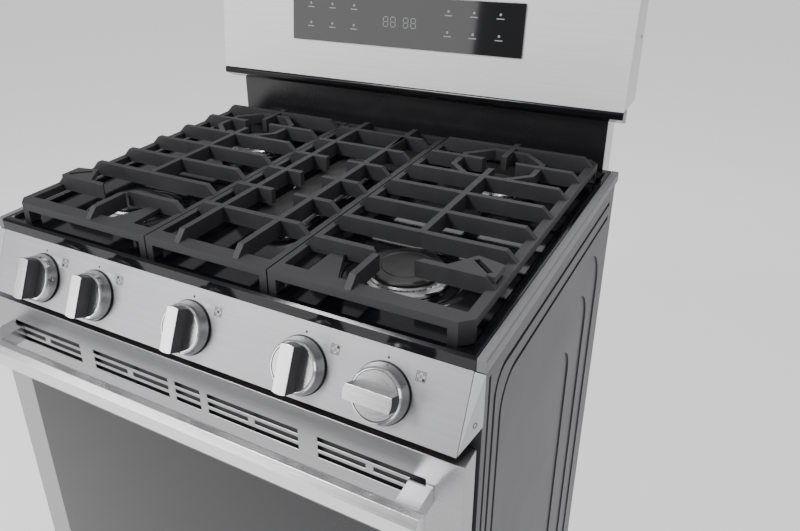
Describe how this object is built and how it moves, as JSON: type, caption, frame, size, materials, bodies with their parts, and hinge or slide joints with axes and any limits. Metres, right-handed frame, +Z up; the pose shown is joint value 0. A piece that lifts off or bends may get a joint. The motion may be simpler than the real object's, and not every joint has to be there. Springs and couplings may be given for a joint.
{
  "type": "freestanding gas range",
  "caption": "Freestanding gas range with a drop-down oven door, storage drawer, slanted front knobs, continuous iron grates, sealed burners and a rear backguard.",
  "frame": {"origin": "centre of the bounding box on the floor", "axes": "+Z up, +X to the right seen from the front, +Y towards the wall, front faces -Y"},
  "size_m": [0.759, 0.731, 1.18],
  "materials": {
    "stainless": "horizontally brushed stainless steel",
    "satin_strip": "satin speckled grey",
    "side_paint": "satin grey paint",
    "enamel": "glossy black porcelain enamel",
    "oven_enamel": "semi-gloss dark speckled enamel",
    "iron": "matte enamelled cast iron",
    "cap_iron": "matte black enamelled iron",
    "black_glass": "glossy dark glass",
    "clear_glass": "heat-resistant glass",
    "aluminium": "cast aluminium",
    "chrome": "bright wire",
    "dark_steel": "dark sheet steel",
    "galvanised": "galvanised sheet",
    "plastic": "black plastic",
    "brass": "plain brass",
    "cap_plastic": "light grey satin plastic",
    "lamp_glass": "clear lamp cover"
  },
  "bodies": {
    "root": {"side_panel_left": "side_paint", "side_strip_left": "satin_strip", "end_cap_left": "cap_plastic", "door_hinge_left": "dark_steel", "side_panel_right": "side_paint", "side_strip_right": "satin_strip", "end_cap_right": "cap_plastic", "door_hinge_right": "dark_steel", "chassis": "dark_steel", "back_panel": "galvanised", "oven_liner": "oven_enamel", "bake_burner": "dark_steel", "broil_burner": "dark_steel", "oven_rack_lower": "chrome", "oven_rack_upper": "chrome", "fan_cover": "oven_enamel", "oven_lamp": "lamp_glass", "cooktop": "enamel", "control_panel": "stainless", "gas_manifold": "brass", "gas_inlet": "brass", "splash_panel": "enamel", "backguard_housing": "stainless", "backguard_band": "enamel", "touch_glass": "black_glass", "levelling_foot_front_left": "plastic", "burner_base_front_left": "aluminium", "burner_cap_front_left": "cap_iron", "levelling_foot_front_right": "plastic", "burner_base_front_right": "aluminium", "burner_cap_front_right": "cap_iron", "levelling_foot_rear_left": "plastic", "burner_base_rear_left": "aluminium", "burner_cap_rear_left": "cap_iron", "levelling_foot_rear_right": "plastic", "burner_base_rear_right": "aluminium", "burner_cap_rear_right": "cap_iron", "burner_base_centre": "aluminium", "burner_cap_centre": "cap_iron"},
    "oven_door": {"door_frame": "stainless", "door_glass": "black_glass", "door_liner": "dark_steel", "door_inner_glass": "clear_glass", "door_handle": "stainless"},
    "storage_drawer": {"drawer_front": "stainless", "drawer_box": "dark_steel"},
    "left_grate": {"grate_left": "iron"},
    "centre_grate": {"grate_centre": "iron"},
    "right_grate": {"grate_right": "iron"},
    "fan": {"convection_fan": "dark_steel"},
    "stem_1": {"valve_stem_1": "aluminium"},
    "dial_1": {"knob_1": "stainless"},
    "stem_2": {"valve_stem_2": "aluminium"},
    "dial_2": {"knob_2": "stainless"},
    "stem_3": {"valve_stem_3": "aluminium"},
    "dial_3": {"knob_3": "stainless"},
    "stem_4": {"valve_stem_4": "aluminium"},
    "dial_4": {"knob_4": "stainless"},
    "stem_5": {"valve_stem_5": "aluminium"},
    "dial_5": {"knob_5": "stainless"}
  },
  "joints": [
    {"name": "door_hinge", "type": "hinge", "parent": "root", "child": "oven_door", "pos_m": [0, -0.2985, 0.297], "axis": [1, 0, 0], "range_deg": [0, 88]},
    {"name": "drawer_slide", "type": "slide", "parent": "root", "child": "storage_drawer", "axis": [0, -1, 0], "range_m": [0, 0.4]},
    {"name": "left_grate_lift", "type": "slide", "parent": "root", "child": "left_grate", "axis": [0, 0, 1], "range_m": [0, 0.15]},
    {"name": "centre_grate_lift", "type": "slide", "parent": "root", "child": "centre_grate", "axis": [0, 0, 1], "range_m": [0, 0.15]},
    {"name": "right_grate_lift", "type": "slide", "parent": "root", "child": "right_grate", "axis": [0, 0, 1], "range_m": [0, 0.15]},
    {"name": "fan_spin", "type": "hinge", "parent": "root", "child": "fan", "pos_m": [0, 0.2415, 0.56], "axis": [0, 1, 0], "continuous": true},
    {"name": "stem_1_push", "type": "slide", "parent": "root", "child": "stem_1", "axis": [0, 0.9049, -0.4257], "range_m": [0, 0.0018], "stiffness_N_per_m": 900, "springref_m": -0.001},
    {"name": "knob_1_turn", "type": "hinge", "parent": "stem_1", "child": "dial_1", "pos_m": [-0.272, -0.28455, 0.85052], "axis": [0, -0.9049, 0.4257], "range_deg": [0, 240]},
    {"name": "stem_2_push", "type": "slide", "parent": "root", "child": "stem_2", "axis": [0, 0.9049, -0.4257], "range_m": [0, 0.0018], "stiffness_N_per_m": 900, "springref_m": -0.001},
    {"name": "knob_2_turn", "type": "hinge", "parent": "stem_2", "child": "dial_2", "pos_m": [-0.167, -0.28455, 0.85052], "axis": [0, -0.9049, 0.4257], "range_deg": [0, 240]},
    {"name": "stem_3_push", "type": "slide", "parent": "root", "child": "stem_3", "axis": [0, 0.9049, -0.4257], "range_m": [0, 0.0018], "stiffness_N_per_m": 900, "springref_m": -0.001},
    {"name": "knob_3_turn", "type": "hinge", "parent": "stem_3", "child": "dial_3", "pos_m": [0, -0.28455, 0.85052], "axis": [0, -0.9049, 0.4257], "range_deg": [0, 240]},
    {"name": "stem_4_push", "type": "slide", "parent": "root", "child": "stem_4", "axis": [0, 0.9049, -0.4257], "range_m": [0, 0.0018], "stiffness_N_per_m": 900, "springref_m": -0.001},
    {"name": "knob_4_turn", "type": "hinge", "parent": "stem_4", "child": "dial_4", "pos_m": [0.167, -0.28455, 0.85052], "axis": [0, -0.9049, 0.4257], "range_deg": [0, 240]},
    {"name": "stem_5_push", "type": "slide", "parent": "root", "child": "stem_5", "axis": [0, 0.9049, -0.4257], "range_m": [0, 0.0018], "stiffness_N_per_m": 900, "springref_m": -0.001},
    {"name": "knob_5_turn", "type": "hinge", "parent": "stem_5", "child": "dial_5", "pos_m": [0.272, -0.28455, 0.85052], "axis": [0, -0.9049, 0.4257], "range_deg": [-90, 150]}
  ]
}
